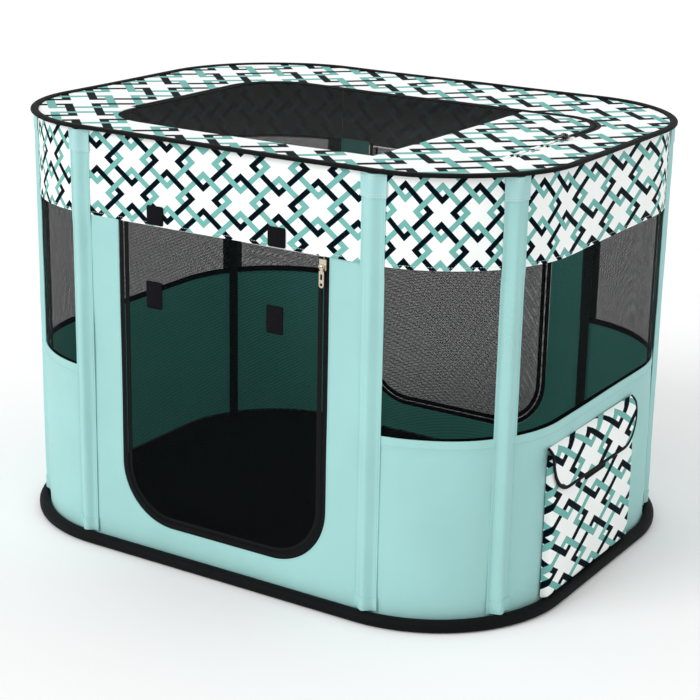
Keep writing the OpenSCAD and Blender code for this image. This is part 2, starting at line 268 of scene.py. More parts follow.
def netCloth(name):
    base = tone(netLook["colour"])
    f = Finish(name, netLook["rough"], base)
    u, v = f.cloth()
    rows = (v / netLook["pitch"]).maths("FLOOR")
    lag = rows.maths("MODULO", 2.0) * 0.5
    fu = ((u / netLook["pitch"]) + lag).maths("FRACT")
    fv = (v / netLook["pitch"]).maths("FRACT")
    w = netLook["thread"]
    cords = ((fu < w) + (fv < w)).least(1.0)
    worn = f.noise(30.0, 2.0)
    paint = f.mix(worn, shade(base, 0.8), shade(base, 1.35))
    round1 = (fu * (math.pi / w)).wave().most(0.0)
    round2 = (fv * (math.pi / w)).wave().most(0.0)
    f.look({"Base Color": paint, "Roughness": 0.55 + 0.15 * worn, "Specular IOR Level": 0.02,
            "Alpha": cords * (1 - netLook["veil"]) + netLook["veil"]})
    f.bump(round1.most(round2) * 0.00008, 0.4, 1.0)
    return f.mat


def tapeCloth(name, colour, rib=0.0016, rough=0.72):
    base = tone(colour)
    f = Finish(name, rough, base)
    u, v = f.cloth()
    k = 2 * math.pi / rib
    twill = ((u + v) * k).wave() * 0.6 + ((u - v) * k * 0.5).wave() * 0.4
    dust = f.noise(45.0, 4.0, 0.6)
    paint = f.mix(dust, shade(base, 0.7), shade(base, 1.7))
    paint = f.mix((twill * 0.5 + 0.5) * 0.35, paint, shade(base, 2.2))
    f.look({"Base Color": paint, "Roughness": rough - 0.12 + 0.2 * dust, "Specular IOR Level": 0.12})
    f.bump(twill * 0.00018 + dust * 0.0006, 0.7, 1.0)
    return f.mat


def floorCloth(name):
    base = tone("08090b")
    f = Finish(name, 0.62, base)
    u, v = f.cloth()
    cloud = f.noise(7.0, 5.0, 0.55)
    threads = weave(u, v, 0.0012)
    paint = f.mix(cloud, shade(base, 0.6), shade(base, 1.9))
    f.look({"Base Color": paint, "Roughness": 0.5 + 0.25 * cloud, "Specular IOR Level": 0.08})
    f.bump(threads * 0.0001 + cloud * 0.004, 0.6, 1.0)
    return f.mat


def hookCloth(name):
    base = tone("08080a")
    f = Finish(name, 0.9, base)
    fuzz = f.noise(1400.0, 3.0, 0.7)
    clump = f.noise(260.0, 2.0)
    paint = f.mix(fuzz, shade(base, 0.5), shade(base, 3.0))
    f.look({"Base Color": paint, "Roughness": 0.8 + 0.15 * clump, "Specular IOR Level": 0.1})
    f.bump(fuzz * 0.0006 + clump * 0.0008, 0.9, 1.0)
    return f.mat


def threadFinish(name, colour):
    base = tone(colour)
    f = Finish(name, 0.6, base)
    twist = f.noise(900.0, 2.0)
    f.look({"Base Color": f.mix(twist, shade(base, 0.8), shade(base, 1.1)),
            "Roughness": 0.5 + 0.2 * twist})
    return f.mat


def metalFinish(name, colour, rough=0.28, metal=1.0):
    base = tone(colour)
    f = Finish(name, rough, base)
    grain = f.noise(220.0, 4.0, 0.6)
    wear = f.noise(55.0, 3.0)
    paint = f.mix(wear, shade(base, 0.82), shade(base, 1.12))
    f.look({"Base Color": paint, "Roughness": rough + 0.16 * (grain - 0.5), "Metallic": metal})
    f.bump(grain * 0.00008, 0.5, 1.0)
    return f.mat


def plasticFinish(name, colour, rough=0.45):
    base = tone(colour)
    f = Finish(name, rough, base)
    grain = f.noise(600.0, 3.0)
    f.look({"Base Color": f.mix(grain, shade(base, 0.85), shade(base, 1.15)),
            "Roughness": rough - 0.06 + 0.14 * grain, "Specular IOR Level": 0.25})
    f.bump(grain * 0.00006, 0.4, 1.0)
    return f.mat


finishes = {
    "teal": tealCloth("tealCloth", tealLook["colour"]),
    "tealPatch": tealCloth("tealPatch", "a2cfcf"),
    "lining": tealCloth("tealLining", "72e0d2", (0.10, 0.42, 0.36)),
    # pole seam tapes: dark teal that is partly the black tape and partly painted shade of the corner
    # sleeves seen from inside
    "shadedPoleTape": tapeCloth("poleSeamShadeTape", "12302d", rough=0.75),
    "print": printCloth("printCloth", printLook["across"], printLook["up"], printLook["shift"]),
    "printBack": printCloth("printClothBack", printLook["across"], printLook["up"],
                            printLook["shift"], 0.35),
    "roofPrint": printCloth("roofPrintCloth", 0.084, 0.084),
    "zipPrint": printCloth("zipPrintCloth", 0.040, 0.040),
    "net": netCloth("blackNet"),
    "tape": tapeCloth("blackTape", "050607"),
    "zipTape": tapeCloth("zipTape", "060709", 0.0011, 0.66),
    "floor": floorCloth("floorCloth"),
    "hook": hookCloth("hookAndLoop"),
    "tealThread": threadFinish("tealThread", "8fcac6"),
    "whiteThread": threadFinish("whiteThread", "dfe9e7"),
    "zipMetal": metalFinish("zipMetal", "cfc6b0"),
    "darkMetal": metalFinish("darkZipMetal", "2c2d31", 0.35, 0.8),
    "spring": metalFinish("springSteel", "b9bcc0", 0.35),
    "rod": plasticFinish("poleRod", "d8dad6", 0.4),
    "cap": plasticFinish("capPlastic", "1c1d20", 0.4),
    "teeth": plasticFinish("zipTeeth", "08090a", 0.6),
}
print("finishes made:", len(finishes))


# mesh building

plan = dict(cx=0.212, cy=0.128, ref=0.178)  # centres of the corner bends and their radius
quarter = plan["ref"] * math.pi / 2
around = 4 * (plan["cx"] + plan["cy"]) + 4 * quarter
longSides = (("front", 0.0), ("rear", around / 2))  # and where each starts along the wall
shortEnds = (("right", 0.0), ("left", around / 2))


def ringPoint(s, r):  # place and outward direction at s along the wall, r from the bends' centres
    cx, cy = plan["cx"], plan["cy"]
    s %= around
    turn = 1
    if s >= around / 2:
        s -= around / 2
        turn = -1
    if s < cx:
        p, n = (s, -cy - r), (0, -1)
    elif s < cx + quarter:
        a = (s - cx) / plan["ref"]
        n = (math.sin(a), -math.cos(a))
        p = (cx + r * n[0], -cy + r * n[1])
    elif s < cx + quarter + 2 * cy:
        p, n = (cx + r, s - cx - quarter - cy), (1, 0)
    elif s < cx + 2 * quarter + 2 * cy:
        a = (s - cx - quarter - 2 * cy) / plan["ref"]
        n = (math.cos(a), math.sin(a))
        p = (cx + r * n[0], cy + r * n[1])
    else:
        p, n = (2 * cx + 2 * quarter + 2 * cy - s, cy + r), (0, 1)
    return (turn * p[0], turn * p[1]), (turn * n[0], turn * n[1])


def onWall(r, sway=None, start=0.0):  # lays cloth on the wall: u along, v up, n outward
    def place(u, v, n):
        away = r + n + (sway(u + start, v) if sway else 0)
        p = ringPoint(u + start, away)[0]
        return Vector((p[0], p[1], v))
    return place


def smooth(x, lo, hi):
    t = max(0.0, min(1.0, (x - lo) / (hi - lo)))
    return t * t * (3 - 2 * t)


def hum(u, v, seed):
    return noise.noise(Vector((u, v, seed)))


def addPiece(name, verts, faces, uvs, mat, rides, replaced=()):
    mesh = bpy.data.meshes.new(name)
    mesh.from_pydata([tuple(p) for p in verts], [], faces)
    layer = mesh.uv_layers.new(name="cloth")
    for loop in mesh.loops:
        layer.data[loop.index].uv = uvs[loop.vertex_index]
    mesh.polygons.foreach_set("use_smooth", [True] * len(mesh.polygons))
    mesh.materials.append(mat)
    mesh.update()
    obj = bpy.data.objects.new(name, mesh)
    scene.collection.objects.link(obj)
    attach(obj, rides)
    if replaced:
        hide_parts(*replaced)
    return obj


def crisp(obj):  # keeps the edges of a thickness from being shaded round
    obj.data.set_sharp_from_angle(angle=math.radians(50))


def lineBack(obj, first, mat):  # another finish on the faces behind
    obj.data.materials.append(mat)
    for poly in obj.data.polygons:
        if min(poly.vertices) >= first:
            poly.material_index = 1


def gridFaces(nu, nv, first=0):  # two layers of nu by nv points, joined round their rim
    faces, back = [], nu * nv
    for j in range(nv - 1):
        for i in range(nu - 1):
            a, b = first + j * nu + i, first + j * nu + i + 1
            c, d = b + nu, a + nu
            faces += [(a, b, c, d), (back + d, back + c, back + b, back + a)]
    rim = list(range(nu)) + [j * nu + nu - 1 for j in range(1, nv)]
    rim += [(nv - 1) * nu + i for i in range(nu - 2, -1, -1)] + [j * nu for j in range(nv - 2, 0, -1)]
    rim = [first + k for k in rim]
    return faces + [(b, a, back + a, back + b) for a, b in zip(rim, rim[1:] + rim[:1])]


def slab(name, us, vs, place, thick, mat, rides, replaced=(), uvOf=None, lining=None):
    spots = [(u, v) for v in vs for u in us]
    verts = [place(u, v, side) for side in (thick / 2, -thick / 2) for u, v in spots]
    uvs = [uvOf(u, v) if uvOf else (u, v) for u, v in spots] * 2
    faces = gridFaces(len(us), len(vs))
    obj = addPiece(name, verts, faces, uvs, mat, rides, replaced)
    if lining:
        lineBack(obj, len(spots), lining)
    crisp(obj)
    return obj


def spaced(lo, hi, step):
    n = max(1, math.ceil((hi - lo) / step - 1e-6))
    return [lo + (hi - lo) * k / n for k in range(n + 1)]


def inside(x, y, loop):
    hit = False
    j = len(loop) - 1
    for i in range(len(loop)):
        xi, yi = loop[i]
        xj, yj = loop[j]
        if (yi > y) != (yj > y) and x < (xj - xi) * (y - yi) / (yj - yi) + xi:
            hit = not hit
        j = i
    return hit


def finer(loop, step):
    out = []
    for i, a in enumerate(loop):
        b = loop[(i + 1) % len(loop)]
        gap = math.hypot(b[0] - a[0], b[1] - a[1])
        if gap < 1e-7:
            continue
        n = max(1, round(gap / step))
        out += [(a[0] + (b[0] - a[0]) * k / n, a[1] + (b[1] - a[1]) * k / n) for k in range(n)]
    return out


def loopArea(loop):
    return 0.5 * sum(a[0] * b[1] - b[0] * a[1] for a, b in zip(loop, loop[1:] + loop[:1]))


def cutCloth(name, outline, holes, step, place, thick, mat, rides, replaced=(), lining=None,
             stretch=(1, 1)):
    loops = [finer(outline, step)] + [finer(h, step) for h in holes]
    if loopArea(loops[0]) < 0:
        loops[0].reverse()
    pts = [p for loop in loops for p in loop]
    edges, first = [], 0
    for loop in loops:
        edges += [(first + k, first + (k + 1) % len(loop)) for k in range(len(loop))]
        first += len(loop)
    lo = [min(p[k] for p in loops[0]) for k in (0, 1)]
    hi = [max(p[k] for p in loops[0]) for k in (0, 1)]
    cells = {}
    for p in pts:
        cells.setdefault((int(p[0] // step), int(p[1] // step)), []).append(p)
    row = 0
    y = lo[1] + step * 0.5
    while y < hi[1]:
        x = lo[0] + step * (0.5 if row % 2 else 1.0)
        while x < hi[0]:
            c = (int(x // step), int(y // step))
            close = any(math.hypot(q[0] - x, q[1] - y) < 0.55 * step
                        for dx in (-1, 0, 1) for dy in (-1, 0, 1)
                        for q in cells.get((c[0] + dx, c[1] + dy), ()))
            if not close and inside(x, y, loops[0]) and not any(inside(x, y, h) for h in loops[1:]):
                pts.append((x, y))
            x += step
        y += step * 0.87
        row += 1
    flat, _, tris, _, _, _ = delaunay_2d_cdt([Vector(p) for p in pts], edges, [], 0, 1e-7)
    keep = []
    for t in tris:
        x = sum(flat[k][0] for k in t) / 3
        y = sum(flat[k][1] for k in t) / 3
        if inside(x, y, loops[0]) and not any(inside(x, y, h) for h in loops[1:]):
            a, b, c = (flat[k] for k in t)
            turn = (b[0] - a[0]) * (c[1] - a[1]) - (b[1] - a[1]) * (c[0] - a[0])
            if abs(turn) > 1e-12:
                keep.append(tuple(t) if turn > 0 else tuple(reversed(t)))
    used = sorted({k for t in keep for k in t})
    index = {k: i for i, k in enumerate(used)}
    keep = [tuple(index[k] for k in t) for t in keep]
    flat = [flat[k] for k in used]
    verts = [place(p[0], p[1], thick / 2) for p in flat]
    uvs = [(p[0] * stretch[0], p[1] * stretch[1]) for p in flat]
    faces = list(keep)
    if thick:
        back = len(flat)
        verts += [place(p[0], p[1], -thick / 2) for p in flat]
        uvs += uvs
        faces += [(back + c, back + b, back + a) for a, b, c in keep]
        sides = {}
        for t in keep:
            for a, b in zip(t, t[1:] + t[:1]):
                sides[(a, b)] = True
        for a, b in sides:
            if (b, a) not in sides:
                faces.append((b, a, back + a, back + b))
    obj = addPiece(name, verts, faces, uvs, mat, rides, replaced)
    if thick:
        if lining:
            lineBack(obj, back, lining)
        crisp(obj)
    size = (hi[0] - lo[0], hi[1] - lo[1])
    area = loopArea(loops[0]) - sum(abs(loopArea(h)) for h in loops[1:])
    return obj, size, area


def cutSheet(made):
    obj, size, area = made
    share = area / (size[0] * size[1])
    area if share < 0.999 else None


def slabSheet(us, vs):
    us[-1] - us[0]
    vs[-1] - vs[0]


def sweep(name, path, profile, mat, rides, replaced=(), closed=False):
    # each stop on the path is a place with its sideways and upward directions; the profile is offsets
    n, m = len(path), len(profile)
    verts, uvs, faces = [], [], []
    along = 0.0
    gird = [0.0]
    for a, b in zip(profile, profile[1:] + profile[:1]):
        gird.append(gird[-1] + math.hypot(b[0] - a[0], b[1] - a[1]))
    for i, (p, side, up) in enumerate(path):
        if i:
            along += (p - path[i - 1][0]).length
        for k, (x, y) in enumerate(profile):
            verts.append(p + side * x + up * y)
            uvs.append((along, gird[k]))
    for i in range(n if closed else n - 1):
        j = (i + 1) % n
        for k in range(m):
            q = (k + 1) % m
            faces.append((i * m + k, j * m + k, j * m + q, i * m + q))
    if not closed:
        faces.append(tuple(range(m)))
        faces.append(tuple((n - 1) * m + k for k in reversed(range(m))))
    obj = addPiece(name, verts, faces, uvs, mat, rides, replaced)
    mesh = obj.data
    volume = 0.0
    for poly in mesh.polygons:
        a = mesh.vertices[poly.vertices[0]].co
        for i in range(1, len(poly.vertices) - 1):
            b, c = (mesh.vertices[poly.vertices[i + d]].co for d in (0, 1))
            volume += a.dot(b.cross(c))
    if volume < 0:
        mesh.flip_normals()
    return obj


def oval(wide, tall, count=16, power=2.0):
    out = []
    for k in range(count):
        a = 2 * math.pi * k / count
        c, s = math.cos(a), math.sin(a)
        out.append((wide * math.copysign(abs(c) ** (2 / power), c),
                    tall * math.copysign(abs(s) ** (2 / power), s)))
    return out


def bar(wide, tall, ease=0.3):  # a flat strip's section with eased corners
    e = min(wide, tall) * ease
    w, t = wide / 2, tall / 2
    return [(w, -t + e), (w, t - e), (w - e, t), (-w + e, t), (-w, t - e),
            (-w, -t + e), (-w + e, -t), (w - e, -t)]


# repeats along a path, made with nodes

def repeatTree():
    tree = bpy.data.node_groups.new("repeatAlong", "GeometryNodeTree")
    face = tree.interface
    face.new_socket("Geometry", in_out="INPUT", socket_type="NodeSocketGeometry")
    ids = {}
    for label, kind in (("Pitch", "NodeSocketFloat"), ("Size", "NodeSocketVector"),
                        ("Sides", "NodeSocketInt"), ("Finish", "NodeSocketMaterial")):
        ids[label] = face.new_socket(label, in_out="INPUT", socket_type=kind).identifier
    face.new_socket("Geometry", in_out="OUTPUT", socket_type="NodeSocketGeometry")

    def add(kind, settings=None):
        n = tree.nodes.new(kind)
        for key, value in (settings or {}).items():
            setattr(n, key, value)
        return n

    start, end = add("NodeGroupInput"), add("NodeGroupOutput")
    lines = add("GeometryNodeMeshToCurve")
    spots = add("GeometryNodeCurveToPoints", {"mode": "LENGTH"})
    ball = add("GeometryNodeMeshUVSphere")
    ball.inputs["Rings"].default_value = 4
    ball.inputs["Radius"].default_value = 0.5
    squash = add("GeometryNodeTransform")
    aim = add("FunctionNodeAlignRotationToVector", {"axis": "X"})
    copies = add("GeometryNodeInstanceOnPoints")
    real = add("GeometryNodeRealizeInstances")
    paint = add("GeometryNodeSetMaterial")
    for a, out, b, into in ((start, "Geometry", lines, 0), (lines, 0, spots, "Curve"),
                            (start, "Pitch", spots, "Length"), (start, "Sides", ball, "Segments"),
                            (ball, "Mesh", squash, "Geometry"), (start, "Size", squash, "Scale"),
                            (spots, "Tangent", aim, "Vector"), (spots, "Points", copies, "Points"),
                            (squash, 0, copies, "Instance"), (aim, 0, copies, "Rotation"),
                            (copies, 0, real, 0), (real, 0, paint, "Geometry"),
                            (start, "Finish", paint, "Material"), (paint, 0, end, 0)):
        tree.links.new(a.outputs[out], b.inputs[into])
    return tree, ids


alongTree, alongIds = repeatTree()


def repeatAlong(name, paths, pitch, size, mat, slotName, rides):
    verts, edges = [], []
    for path in paths:
        first = len(verts)
        verts += [tuple(p) for p in path]
        edges += [(first + k, first + k + 1) for k in range(len(path) - 1)]
    mesh = bpy.data.meshes.new(name + "Line")
    mesh.from_pydata(verts, edges, [])
    line = bpy.data.objects.new(name + "Line", mesh)
    scene.collection.objects.link(line)
    mod = line.modifiers.new("repeat", "NODES")
    mod.node_group = alongTree
    for label, value in (("Pitch", pitch), ("Size", size), ("Sides", 6), ("Finish", mat)):
        mod[alongIds[label]] = value
    graph = bpy.context.evaluated_depsgraph_get()
    made = bpy.data.meshes.new_from_object(line.evaluated_get(graph))
    made.name = name
    bpy.data.objects.remove(line)
    made.materials.clear()
    made.materials.append(mat)
    made.polygons.foreach_set("use_smooth", [True] * len(made.polygons))
    obj = bpy.data.objects.new(name, made)
    scene.collection.objects.link(obj)
    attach(obj, rides)
    return obj


makeCamera()
makeLight()
print("camera and light ready")


# rims

rims = dict(floorR=0.186, floorZ=0.008, roofR=0.1825, roofZ=0.5725)


def ringPath(r, z, step, wob, seed):
    path = []
    count = int(around / step)
    for k in range(count):
        s = around * k / count
        (x, y), n = ringPoint(s, r)
        lift = wob * hum(x * 9, y * 9, seed)
        push = wob * hum(x * 7, y * 7, seed + 9)
        out = Vector((n[0], n[1], 0))
        path.append((Vector((x, y, z + lift)) + out * push, out, Vector((0, 0, 1))))
    return path


def makeRims():
    low = oval(0.0078, 0.0079, 20, 2.6)
    sweep("floorBinding", ringPath(rims["floorR"], rims["floorZ"], 0.006, 0.0, 3.1), low,
          finishes["tape"], "tent", ["floor_binding"], True)
    top = oval(0.0054, 0.0027, 18, 2.4)
    sweep("roofBinding", ringPath(rims["roofR"], rims["roofZ"], 0.006, 0.0006, 5.7), top,
          finishes["tape"], "tent", ["roof_binding"], True)


makeRims()


# walls

doorway = dict(half=0.1532, low=0.056, bend=0.074, hem=0.0077)  # line of the teeth under a door
walls = dict(r=0.1762, thick=0.0011, low=0.004, sill=0.2475, high=0.464, step=0.008,
             ripple=0.0016, hem=0.013)
hemZ = walls["sill"] - walls["hem"]
seamHalf, seamStart = 0.2118, 0.2122  # either side of the seam where a long wall meets its corner
poleSpots = [0.2219, 0.3937, around / 2 - 0.3937, around / 2 - 0.2219]
poleSpots += [s + around / 2 for s in poleSpots]
seams = [0.212, 0.3937, around / 2 - 0.3937, around / 2 - 0.212]


def spans(end):  # an end wall and its two corners, between their seams
    first, last = ("front_", "rear_") if end == "right" else ("rear_", "front_")
    return (end, seams[1], seams[2]), (first + end, seams[0], seams[1]), (last + end, seams[2], seams[3])


def camel(label):
    first, *rest = label.split("_")
    return first + "".join(w.capitalize() for w in rest)


def poleGap(s):  # distance along the wall to the nearest pole
    s %= around
    return min(min(abs(s - p), around - abs(s - p)) for p in poleSpots)


def wallSway(s, z):
    gap = poleGap(s)
    soft = smooth(z, 0.0, 0.05)
    a = walls["ripple"]
    broad = a * 1.5 * hum(s * 4, z * 3, 2.2)
    pulled = a * 0.9 * math.exp(-gap / 0.035) * hum(s * 60, z * 6, 7.7)
    fine = a * 0.35 * hum(s * 16, z * 14, 4.4)
    toe = a * 0.9 * math.exp(-z / 0.035) * hum(s * 45, z * 8, 1.3)
    return (broad + pulled + fine) * soft + toe * (1 - soft)


def lowSway(s, z):  # low panels are folded over at the sill
    hem = smooth(z, hemZ - 0.001, hemZ + 0.0006)
    dip = 0.0012 * hum(s * 14, 3.3, 0.4)
    return wallSway(s, z) + 0.0005 * hem + dip * smooth(z, 0.18, walls["sill"])


def doorLoop(e, top, step=0.006):  # U outline of a door grown by e, from top right round to top left
    half, low, r = doorway["half"] + e, doorway["low"] - e, doorway["bend"] + e
    pts = [(half, top)]
    n = max(6, int(r * math.pi / 2 / step))
    for side, a0 in ((1, 0.0), (-1, -math.pi / 2)):
        for k in range(n + 1):
            a = a0 - math.pi / 2 * k / n
            pts.append((side * (half - r) + r * math.cos(a), low + r + r * math.sin(a)))
    return pts + [(-half, top)]


def makeWalls():
    for side, start in longSides:
        outline = [(-seamHalf, walls["low"]), (seamHalf, walls["low"]), (seamHalf, walls["high"])]
        outline += doorLoop(doorway["hem"], walls["high"]) + [(-seamHalf, walls["high"])]
        made = cutCloth(side + "Panel", outline, [], walls["step"],
                        onWall(walls["r"], wallSway, start), walls["thick"],
                        finishes["teal"], "tent", [side + "_panel"], finishes["lining"])
        cutSheet(made)
    vs = spaced(walls["low"], hemZ - 0.001, walls["step"])
    vs += [hemZ + 0.0006] + spaced(walls["sill"] - 0.009, walls["sill"], 0.003)
    for end, start in shortEnds:
        for label, a, b in spans(end):
            us = spaced(a + 0.0002, b - 0.0002, walls["step"])
            node = label + "_lower_panel"
            obj = slab(camel(node), us, vs, onWall(walls["r"], lowSway, start), walls["thick"],
                       finishes["teal"], "tent", [node], lining=finishes["lining"])
            slabSheet(us, vs)


makeWalls()
print("walls made")


# printed band

bands = dict(r=0.1778, thick=0.0010, low=0.4585, high=0.5700, step=0.008,
             longShift=(-0.0395, 0.0072), lean=0.079, endShift=(-0.004, 0.030))


def printRun(s):  # print repeats along the wall, closer together on the corner bends
    total, at, step = 0.0, 0.0, 0.002
    bendEnd = plan["cx"] + quarter
    while at < abs(s) - 1e-9:
        part = min(step, abs(s) - at)
        m = (at + part / 2) % (around / 2)
        m = min(m, around / 2 - m)
        on = smooth(m, 0.200, 0.235) * smooth(m, bendEnd + 0.02, bendEnd - 0.05)
        side = smooth(m, bendEnd - 0.04, bendEnd + 0.03)
        flat = printLook["straight"] + (printLook["end"] - printLook["straight"]) * side
        total += part / (flat + (printLook["corner"] - flat) * on)
        at += part
    return math.copysign(total, s) * printLook["across"]


def bandSway(s, z):
    edge = smooth(z, bands["low"] + 0.012, bands["low"])
    flare = 0.0010 * edge * hum(s * 11, 6.1, 0.2)
    return 0.0007 * hum(s * 9, z * 12, 5.5) + flare


def makeBand(side, start, us, shift, lean=0.0):
    vs = spaced(bands["low"], bands["high"], 0.006)
    run = {u: printRun(u) + shift[0] for u in us}
    obj = slab(side + "Band", us, vs, onWall(bands["r"], bandSway, start), bands["thick"],
               finishes["print"], "tent", ["printed_band_" + side],
               uvOf=lambda u, v: (run[u], v + shift[1] - lean * u), lining=finishes["printBack"])
    slabSheet(us, vs)


for side, start in longSides:
    makeBand(side, start, spaced(-seamHalf, seamHalf, bands["step"]), bands["longShift"], bands["lean"])
for end, start in shortEnds:
    makeBand(end, start, spaced(seamStart, around / 2 - seamStart, bands["step"]), bands["endShift"])


# mesh windows

windows = dict(r=0.1747, low=0.240, high=0.463, step=0.012, dip=0.0022)


def netSway(s, z):
    mid = math.sin(math.pi * smooth(z, windows["low"], windows["high"]))
    return -windows["dip"] * mid + 0.0008 * hum(s * 10, z * 10, 8.8) * mid


def makeWindows():
    low, high = windows["low"], windows["high"]
    for end, start in shortEnds:
        for label, a, b in spans(end):
            made = cutCloth(camel(label + "_window"), [(a, low), (b, low), (b, high), (a, high)], [],
                            windows["step"], onWall(windows["r"], netSway, start), 0,
                            finishes["net"], "tent", [label + "_window"])
            cutSheet(made)


makeWindows()
print("band and windows made")


# pole sleeves

sleeves = dict(base=0.1787, rise=0.0069, half=0.016, flat=0.003, thick=0.0010, low=0.0166, high=0.5690,
               patchTop=0.029, topHalf=0.0172, topLift=0.0011,
               patchLow=0.018, lowHalf=0.0168, lowLift=0.0010)


def onSleeve(k, extra):  # flat sewn edges and a soft hump over the pole, u across and v up
    (x, y), n = ringPoint(poleSpots[k], sleeves["base"])
    out, side = Vector((n[0], n[1], 0)), Vector((-n[1], n[0], 0))
    seed = 11.0 + 2.3 * k

    def place(u, v, n):
        crease = 0.0005 * hum(u * 160, v * 9, seed) + 0.0004 * hum(u * 60, v * 25, seed + 3)
        edge = 0.0006 - 0.0013 * smooth(v, bands["low"] - 0.002, bands["low"] - 0.02)
        a = min(1.0, abs(u) / (sleeves["half"] - sleeves["flat"]))
        rise = (sleeves["rise"] - edge) * (0.5 + 0.5 * math.cos(math.pi * a))
        rise *= 1 + 0.04 * hum(0.5, v * 12, seed)
        bend = -u * u / (2 * plan["ref"])
        return Vector((x, y, v)) + side * u + out * (rise + edge + extra + n + bend + crease)
    return place


def makeSleeves(name, node, half, thick, extra, low, high, step, mat):
    verts, faces, uvs = [], [], []
    us, vs = spaced(-half, half, half / 10), spaced(low, high, step)
    spots = [(u, v) for v in vs for u in us]
    for k in range(len(poleSpots)):
        place = onSleeve(k, extra)
        faces += gridFaces(len(us), len(vs), len(verts))
        verts += [place(u, v, off) for off in (thick / 2, -thick / 2) for u, v in spots]
        uvs += [(u + 0.05 * k, v) for u, v in spots] * 2
    crisp(addPiece(name, verts, faces, uvs, finishes[mat], "tent", [node]))


makeSleeves("poleSleeves", "pole_sleeves", sleeves["half"], sleeves["thick"], 0.0,
            sleeves["low"], sleeves["high"], 0.008, "teal")
makeSleeves("sleeveTopPatches", "sleeve_top_patches", sleeves["topHalf"], 0.0009, sleeves["topLift"],
            sleeves["high"] - sleeves["patchTop"], sleeves["high"], 0.004, "tealPatch")
makeSleeves("sleeveBottomPatches", "sleeve_bottom_patches", sleeves["lowHalf"], 0.0008,
            sleeves["lowLift"], sleeves["low"], sleeves["low"] + sleeves["patchLow"], 0.004, "teal")
print("sleeves made")


# doors

doors = dict(depth=0.3042, thick=0.0012, top=0.4570, frameTop=0.4620, gap=0.001, tape=0.0064, net=0.010,
             sag=-0.003, bandDepth=0.3071,
             patches=((-0.104, 0.367, 0.025, 0.036), (0.083, 0.367, 0.025, 0.036)),
             bandPatches=((-0.100, 0.472, 0.026, 0.025), (0.086, 0.472, 0.026, 0.025)))
zipTeeth = dict(pitch=0.0021, upright=(0.0013, 0.0019, 0.0021), lying=(0.0013, 0.0021, 0.0019))


def cutAt(pts, x, y):  # the points as far as the one nearest x, y
    end = min(range(len(pts) // 2, len(pts)), key=lambda k: math.hypot(pts[k][0] - x, pts[k][1] - y))
    return pts[:end + 1]


def withNeighbours(pts):
    return zip(pts, pts[:1] + pts[:-1], pts[1:] + pts[-1:])


def patchPlate(name, spots, place, thick, rides, node):
    verts, faces, uvs = [], [], []
    r = 0.0025
    for cx, cz, w, h in spots:
        loop = []
        for sx, sz, a0 in ((1, -1, -90), (1, 1, 0), (-1, 1, 90), (-1, -1, 180)):
            for k in range(5):
                a = math.radians(a0 + 22.5 * k)
                loop.append((cx + sx * (w / 2 - r) + r * math.cos(a),
                             cz + sz * (h / 2 - r) + r * math.sin(a)))
        first, m = len(verts), len(loop)
        for ring, off in ((1.0, -thick / 2), (1.0, thick / 2 - 0.0003), (0.965, thick / 2)):
            for x, z in loop:
                verts.append(place(cx + (x - cx) * ring, cz + (z - cz) * ring, off))
                uvs.append((x, z))
        for j in (0, 1):
            for k in range(m):
                a, b = first + j * m + k, first + j * m + (k + 1) % m
                faces.append((a, b, b + m, a + m))
        faces.append(tuple(first + 2 * m + k for k in range(m)))
        faces.append(tuple(first + k for k in reversed(range(m))))
    crisp(addPiece(name, verts, faces, uvs, finishes["hook"], rides, [node]))


def makeDoor(side):
    turn = 1 if side == "front" else -1
    rides = side + "_door"
    gap, wide, depth, top = doors["gap"], doors["tape"], doors["depth"], doors["top"]

    def at(depth, sag=0.0):
        def place(u, v, n):
            mid = math.cos(math.pi * u / 0.3) * math.sin(math.pi * smooth(v, 0.057, 0.455))
            give = sag * mid + sag * 0.6 * hum(u * 12, v * 12, 3.0 * turn) * mid
            return Vector((turn * u, -turn * (depth + n + give), v))
        return place

    made = cutCloth(side + "DoorNet", doorLoop(-gap - wide * 0.86, top), [], doors["net"],
                    at(depth, doors["sag"]), 0, finishes["net"], rides,
                    [side + "_door_mesh"])
    cutSheet(made)

    def tape(name, e, end, lift, body, node):
        out = Vector((0, -turn, 0))
        path = []
        pts = cutAt(finer(doorLoop(e, end), 0.008), -doorway["half"] - e, end)
        for (u, v), a, b in withNeighbours(pts):
            d = Vector((turn * (b[0] - a[0]), 0, b[1] - a[1])).normalized()
            path.append((at(depth)(u, v, lift), d.cross(out), out))
        sweep(name, path, bar(wide, doors["thick"]), finishes["zipTape"], body, [node])

    def teeth(name, e, skip, body):
        pts = finer(doorLoop(e, top - 0.002 - skip), 0.004)
        pts = cutAt(pts, -doorway["half"] - e, top)
        line = [at(depth)(u, v, 0.0009) for u, v in reversed(pts)]
        repeatAlong(name, [line], zipTeeth["pitch"], zipTeeth["upright"], finishes["teeth"], "zip_tape",
                    body)

    tape(side + "DoorZipTape", -gap - wide / 2, top, 0.0, rides, side + "_door_zip_tape")
    tape(side + "FrameZipTape", gap + wide / 2, doors["frameTop"], 0.0002, "tent",
         side + "_frame_zip_tape")
    teeth(side + "DoorTeeth", -0.0008, 0.0, rides)
    teeth(side + "FrameTeeth", 0.0008, 0.00105, "tent")
    patchPlate(side + "DoorFasteners", doors["patches"], at(depth + doors["thick"]), 0.0012, rides,
               side + "_door_fasteners")
    patchPlate(side + "BandFasteners", doors["bandPatches"], at(doors["bandDepth"]), 0.0012, "tent",
               side + "_band_fasteners")


makeDoor("front")
makeDoor("rear")
print("doors made")


# roof and hatch

roof = dict(z=0.5720, r=0.1785, thick=0.0011, sag=0.004, left=-0.257, right=0.313, front=-0.236,
            rear=0.160, bend=0.080, split=0.177, covered=0.022, gap=0.001, tape=0.0064, step=0.011,
            netStep=0.012, netDrop=0.006)


def roofLoop(r, step=0.01):
    count = int(around / step)
    return [ringPoint(around * k / count, r)[0] for k in range(count)]


